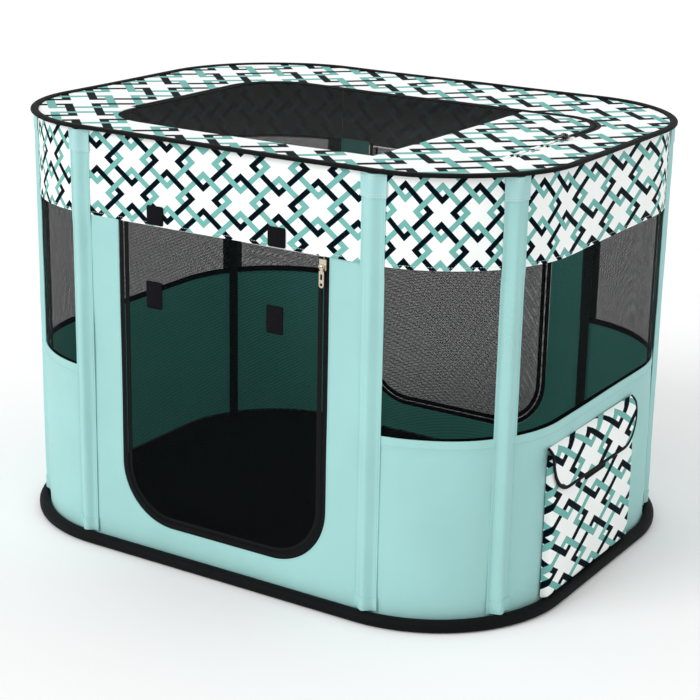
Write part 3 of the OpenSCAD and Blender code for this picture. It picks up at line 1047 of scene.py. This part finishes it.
def hatchLoop(e, step=0.008):
    x0, x1 = roof["left"] - e, roof["right"] + e
    y0, y1 = roof["front"] - e, roof["rear"] + e
    r = roof["bend"] + e
    n = max(6, int(r * math.pi / 2 / step))
    loop = []
    for x, y, a0 in ((x1 - r, y0 + r, -90), (x1 - r, y1 - r, 0), (x0 + r, y1 - r, 90),
                     (x0 + r, y0 + r, 180)):
        for k in range(n + 1):
            a = math.radians(a0 + 90 * k / n)
            loop.append((x + r * math.cos(a), y + r * math.sin(a)))
    return loop


def roofDip(x, y):
    fall = max(0.0, 1 - (x / 0.39) ** 2) * max(0.0, 1 - (y / 0.306) ** 2)
    return -roof["sag"] * fall + 0.0009 * hum(x * 7, y * 7, 4.2) * min(1.0, fall * 3)


def onRoof(extra=0.0, netDrop=0.0):
    def place(u, v, n):
        drop = 0.0
        if netDrop:
            fx = smooth(u, roof["left"], roof["left"] + 0.16)
            fx *= smooth(u, roof["split"], roof["split"] - 0.10)
            fy = smooth(v, roof["front"], roof["front"] + 0.12)
            fy *= smooth(v, roof["rear"], roof["rear"] - 0.12)
            drop = -netDrop * fx * fy
        return Vector((u, v, roof["z"] + roofDip(u, v) + extra + drop + n))
    return place


def makeRoof():
    gap, wide, split = roof["gap"], roof["tape"], roof["split"]
    hinge = roof["front"] + roof["bend"]

    def ring(e, sewn):  # edge e from the teeth behind the hinge's bends, sewn edge in front of them
        back = [p for p in hatchLoop(e) if p[1] > hinge + 1e-6]
        front = [p for p in hatchLoop(sewn) if p[1] < hinge + 1e-6]
        return front[:len(front) // 2] + back + front[len(front) // 2:]

    def clip(loop, keepLeft):
        out = []
        for a, b in zip(loop, loop[1:] + loop[:1]):
            inA, inB = ((p[0] <= split) == keepLeft for p in (a, b))
            if inA:
                out.append(a)
            if inA != inB:
                t = (split - a[0]) / (b[0] - a[0])
                out.append((split, a[1] + t * (b[1] - a[1])))
        return out

    made = cutCloth("roofPanel", roofLoop(roof["r"]), [ring(gap + wide * 0.9, 0.0004)], roof["step"],
                    onRoof(), roof["thick"], finishes["roofPrint"], "tent",
                    ["roof_panel", "roof_panel_end"])
    cutSheet(made)
    whole = ring(-gap - wide * 0.9, -0.0004)
    made = cutCloth("hatchNet", clip(whole, True), [], roof["netStep"], onRoof(0.0, roof["netDrop"]), 0,
                    finishes["net"], "hatch", ["hatch_mesh"])
    cutSheet(made)
    made = cutCloth("hatchPrintedEnd", clip(whole, False), [], roof["step"], onRoof(), roof["thick"],
                    finishes["roofPrint"], "hatch", ["hatch_printed_end"])
    cutSheet(made)

    def along(e, trim=0.0):
        line = [p for p in finer(hatchLoop(e), 0.008) if p[1] > hinge + trim]
        top = max(range(len(line)), key=lambda k: (line[k][0] > 0) * (1 - line[k][1]))
        return line[top:] + line[:top]

    def tape(name, e, body, node):
        up = Vector((0, 0, 1))
        path = []
        for (x, y), a, b in withNeighbours(along(e)):
            d = Vector((b[0] - a[0], b[1] - a[1], 0)).normalized()
            path.append((onRoof(0.0003)(x, y, 0), d.cross(up), up))
        obj = sweep(name, path, bar(wide, 0.0012), finishes["zipTape"], body, [node])
        obj.data.materials.append(finishes["zipPrint"])
        for poly in obj.data.polygons:  # the end near the hinge is covered with printed cloth
            if poly.center.x > 0.28 and poly.center.y < roof["covered"]:
                poly.material_index = 1

    tape("hatchZipTape", -gap - wide / 2, "hatch", "hatch_zip_tape")
    tape("roofFrameZipTape", gap + wide / 2, "tent", "roof_frame_zip_tape")
    for name, e, trim, body in (("hatchTeeth", -0.0008, 0.0, "hatch"),
                                ("roofTeeth", 0.0008, 0.001, "tent")):
        line = [onRoof(0.0011)(x, y, 0) for x, y in reversed(along(e, trim))
                if x < 0.28 or y > roof["covered"]]
        repeatAlong(name, [line], zipTeeth["pitch"], zipTeeth["lying"], finishes["teeth"], "zip_tape", body)


makeRoof()
print("roof made")


# floor and inner tapes

floor = dict(r=0.1768, step=0.014, under=0.0001, top=0.0012, ripple=0.0016)
innerTapes = dict(sillR=0.1733, sillZ=0.2455, sillFrom=0.2165, poleR=0.1720, poleLow=0.0035, poleTop=0.463)


def makeFloor():
    def place(u, v, n):
        r = max(abs(u) / 0.38, abs(v) / 0.297)
        rise = floor["ripple"] * max(0.0, hum(u * 8, v * 8, 6.6)) * smooth(1.0 - r, 0.0, 0.3)
        return Vector((u, v, floor["under"] if n < 0 else floor["top"] + rise))
    made = cutCloth("floorCloth", roofLoop(floor["r"]), [], floor["step"], place, 0.0012,
                    finishes["floor"], "tent", ["floor_panel"])
    cutSheet(made)


def outward(obj):  # turns each closed strip's faces outward
    bm = bmesh.new()
    bm.from_mesh(obj.data)
    bmesh.ops.recalc_face_normals(bm, faces=bm.faces)
    bm.to_mesh(obj.data)
    bm.free()


def makeStrips(name, paths, profile, node, key):
    verts, faces, uvs = [], [], []
    m = len(profile)
    for path in paths:
        first = len(verts)
        for p, side, up in path:
            for x, y in profile:
                verts.append(p + side * x + up * y)
                uvs.append(((p - path[0][0]).length, x + y))
        for i in range(len(path) - 1):
            for k in range(m):
                a, b = first + i * m + k, first + i * m + (k + 1) % m
                faces.append((a, b, b + m, a + m))
        faces.append(tuple(first + k for k in reversed(range(m))))
        faces.append(tuple(first + (len(path) - 1) * m + k for k in range(m)))
    obj = addPiece(name, verts, faces, uvs, finishes[key], "tent", [node])
    outward(obj)
    crisp(obj)


def makeInnerTapes():
    sills, strips = [], []
    for end, start in shortEnds:
        path = []
        for u in spaced(innerTapes["sillFrom"], around / 2 - innerTapes["sillFrom"], 0.008):
            (x, y), n = ringPoint(u + start, innerTapes["sillR"])
            path.append((Vector((x, y, innerTapes["sillZ"])), Vector((n[0], n[1], 0)), Vector((0, 0, 1))))
        sills.append(path)
    makeStrips("sillSeamTapes", sills, bar(0.0009, 0.008), "sill_seam_tapes", "tape")
    for s0 in poleSpots:
        (x, y), n = ringPoint(s0, innerTapes["poleR"])
        out, side = Vector((n[0], n[1], 0)), Vector((-n[1], n[0], 0))
        strips.append([(Vector((x, y, z)), side, out)
                       for z in spaced(innerTapes["poleLow"], innerTapes["poleTop"], 0.02)])
    makeStrips("poleSeamTapes", strips, bar(0.0145, 0.0009), "pole_seam_tapes", "shadedPoleTape")


makeFloor()
makeInnerTapes()
print("floor and inner tapes made")


# pocket

pocket = dict(x=0.3891, y=-0.034, width=0.244, low=0.0175, top=0.210, edge=0.005, folds=0.024,
              depth=((0.018, 0.0100), (0.060, 0.0120), (0.150, 0.0108), (0.210, 0.0074)),
              flapHalf=0.126, flapBend=0.044, flapDrop=0.0670, flapStep=0.006, stretch=(0.60, 0.9),
              loop=(0, 0.157, 0.06, 0.014), hook=(0, 0.155, 0.06, 0.010))
flapSide = ((0.0012, 0.2205), (0.0090, 0.2145), (0.0112, 0.204), (0.0140, 0.164), (0.0154, 0.140))


def between(table, x):
    for (a, fa), (b, fb) in zip(table, table[1:]):
        if x <= b:
            return fa + (fb - fa) * max(0.0, (x - a) / (b - a))
    return table[-1][1]


def makePouch():
    half, e, low = pocket["width"] / 2, pocket["edge"], pocket["low"]

    def rounded(t):
        return math.sqrt(max(0.0, 1 - (1 - min(1.0, t)) ** 2))

    def depth(y, z):
        d = between(pocket["depth"], z)
        d += 0.0012 * hum(y * 20, z * 20, 9.1) * smooth(z, 0.03, 0.08)
        return d * rounded((half - abs(y)) / e) * rounded((z - low) / 0.004)

    ys = [-half, -half + 0.0003, -half + 0.0008, -half + 0.0016, -half + 0.0028]
    ys += spaced(-half + e, half - e, 0.007) + [-y for y in reversed(ys)]
    zs = [low + k for k in (0.0, 0.0003, 0.001, 0.0022)] + spaced(low + 0.004, pocket["top"], 0.007)

    def place(u, v, n):
        d = depth(u, v)
        x = pocket["x"] + 0.0006 + (d if n > 0 else max(0.0, d * 0.9 - 0.0009))
        return Vector((x, pocket["y"] + u, v))

    run = {}
    for z in zs:
        total, last = 0.0, None
        for y in ys:
            p = (depth(y, z), y)
            if last:
                total += math.hypot(p[0] - last[0], p[1] - last[1])
            run[(y, z)] = total
            last = p
    across, up = pocket["stretch"]
    obj = slab("pocketPouch", ys, zs, place, 0.001, finishes["print"], "tent",
               ["pocket_pouch"], uvOf=lambda u, v: ((run[(u, v)] + 0.013) * across, (v + 0.008) * up))


def flapSpot(drop):  # depth and height at a length down the flap
    for (xa, za), (xb, zb) in zip(flapSide, flapSide[1:]):
        gap = math.hypot(xb - xa, zb - za)
        if drop <= gap or (xb, zb) == flapSide[-1]:
            t = drop / gap
            return xa + (xb - xa) * t, za + (zb - za) * t
        drop -= gap


def flapPoint(drop):
    spots = [flapSpot(max(0.0, min(0.083, drop + d))) for d in (-0.004, -0.002, 0.0, 0.002, 0.004)]
    x, z = (sum(p[k] for p in spots) / 5 for k in (0, 1))
    a, b = flapSpot(max(0.0, drop - 0.003)), flapSpot(min(0.083, drop + 0.003))
    d = Vector((b[0] - a[0], 0, b[1] - a[1])).normalized()
    return x, z, Vector((-d.z, 0, d.x))


def makeFlap():
    half, r, drop = pocket["flapHalf"], pocket["flapBend"], pocket["flapDrop"]

    def place(u, v, n):
        x, z, out = flapPoint(-v)
        ripple = 0.0010 * hum(u * 18, v * 18, 12.0) * smooth(-v, 0.01, 0.04)
        return Vector((pocket["x"] + x, pocket["y"] + u, z)) + out * (n + ripple)

    def loop(e):
        pts = [(half - e, 0.0)]
        for side, a0 in ((1, 0), (-1, -90)):
            for k in range(13):
                a = math.radians(a0 - 7.5 * k)
                pts.append((side * (half - r) + (r - e) * math.cos(a), -drop + r + (r - e) * math.sin(a)))
        return pts + [(-half + e, 0.0)]

    made = cutCloth("pocketFlap", loop(0.0018), [], pocket["flapStep"], place, 0.0011, finishes["print"],
                    "flap", ["pocket_flap"], stretch=pocket["stretch"])
    cutSheet(made)
    path = []
    for (u, v), a, b in withNeighbours(cutAt(finer(loop(0.0022), 0.004), -half, 0)):
        d = (place(*b, 0) - place(*a, 0)).normalized()
        out = flapPoint(-v)[2]
        path.append((place(u, v, 0.0001), d.cross(out).normalized(), out))
    sweep("pocketFlapBinding", path, oval(0.0026, 0.0013, 10, 2.6), finishes["tape"],
          "flap", ["pocket_flap_binding"])

    def facing(depth):
        return lambda u, v, n: Vector((pocket["x"] + depth + n, pocket["y"] + u, v))

    patchPlate("pocketLoopFastener", [pocket["loop"]], facing(0.0116), 0.0006, "tent",
               "pocket_loop_fastener")
    patchPlate("pocketHookFastener", [pocket["hook"]], facing(0.0127), 0.0006, "flap",
               "pocket_hook_fastener")


makePouch()
makeFlap()
print("pocket made")


# stitching

stitching = dict(pitch=0.0034, long=0.0025, wide=0.00055, above=0.0022, bandUp=0.004, doorEdge=0.0098,
                 sleeveEdge=0.0138, sleeveLow=0.036, sleeveHigh=0.539,
                 topRows=(0.5415, 0.5445, 0.5645), lowRows=(0.0325, 0.0205))


def seamLine(spots, r, sway):  # a line of stitches on the outside of the wall's cloth
    line = []
    for s, z in spots:
        x, y = ringPoint(s, r + sway(s, z) + 0.0001)[0]
        line.append(Vector((x, y, z)))
    return line


def makeStitches():
    size = (stitching["long"], stitching["wide"], stitching["wide"])
    teal, white = [], []
    outer, bandOuter = (d["r"] + d["thick"] / 2 for d in (walls, bands))
    hem, bandZ = hemZ + stitching["above"], bands["low"] + stitching["bandUp"]
    for start in (0.0, around / 2):
        for a, b in zip(seams, seams[1:]):
            along = spaced(a + 0.012 + start, b - 0.012 + start, 0.006)
            teal.append(seamLine([(s, hem) for s in along], outer, lowSway))
        along = spaced(start - 0.2, start + around / 2 - 0.2, 0.006)
        white.append(seamLine([(s, bandZ) for s in along], bandOuter, bandSway))
    e, top = stitching["doorEdge"], 0.458
    edge = cutAt(finer(doorLoop(e, top), 0.006), -doorway["half"] - e, top)
    for side, start in longSides:
        teal.append(seamLine([(u + start, v) for u, v in edge], outer, wallSway))
    for k in range(len(poleSpots)):
        sleeve = onSleeve(k, 0.0)
        topPatch, lowPatch = onSleeve(k, sleeves["topLift"]), onSleeve(k, sleeves["lowLift"])
        for u in (-stitching["sleeveEdge"], stitching["sleeveEdge"]):
            teal.append([sleeve(u, z, 0.0006)
                         for z in spaced(stitching["sleeveLow"], stitching["sleeveHigh"], 0.01)])
        for z in stitching["topRows"]:
            white.append([topPatch(u, z, 0.00055) for u in spaced(-0.0160, 0.0160, 0.002)])
        for z in stitching["lowRows"]:
            teal.append([lowPatch(u, z, 0.0005) for u in spaced(-0.0155, 0.0155, 0.002)])
    for name, lines, thread, slotName in (("tealStitches", teal, "tealThread", "teal_cloth"),
                                          ("whiteStitches", white, "whiteThread", "printed_cloth")):
        repeatAlong(name, lines, stitching["pitch"], size, finishes[thread], slotName, "tent")


makeStitches()
print("stitches made")


# pieces kept from the frame

kept = dict(floor_hoop="spring", roof_hoop="spring", upright_poles="rod", pole_end_caps="cap",
            front_zip_slider="zipMetal", front_zip_pull="zipMetal", rear_zip_slider="zipMetal",
            rear_zip_pull="zipMetal", hatch_zip_slider="darkMetal", hatch_zip_pull="darkMetal")
for node, key in kept.items():
    materials = cadNodes[node].data.materials
    materials.clear()
    materials.append(finishes[key])


# floor of the studio

def makeStage():
    mesh = bpy.data.meshes.new("studioFloor")
    mesh.from_pydata([(-14, -14, 0), (14, -14, 0), (14, 14, 0), (-14, 14, 0)], [], [(0, 1, 2, 3)])
    obj = bpy.data.objects.new("studioFloor", mesh)
    scene.collection.objects.link(obj)
    f = Finish("studioFloor", 0.9, (lamps["floorTone"],) * 3)
    f.look({"Specular IOR Level": 0.0})
    mesh.materials.append(f.mat)


makeStage()
print("scene ready")
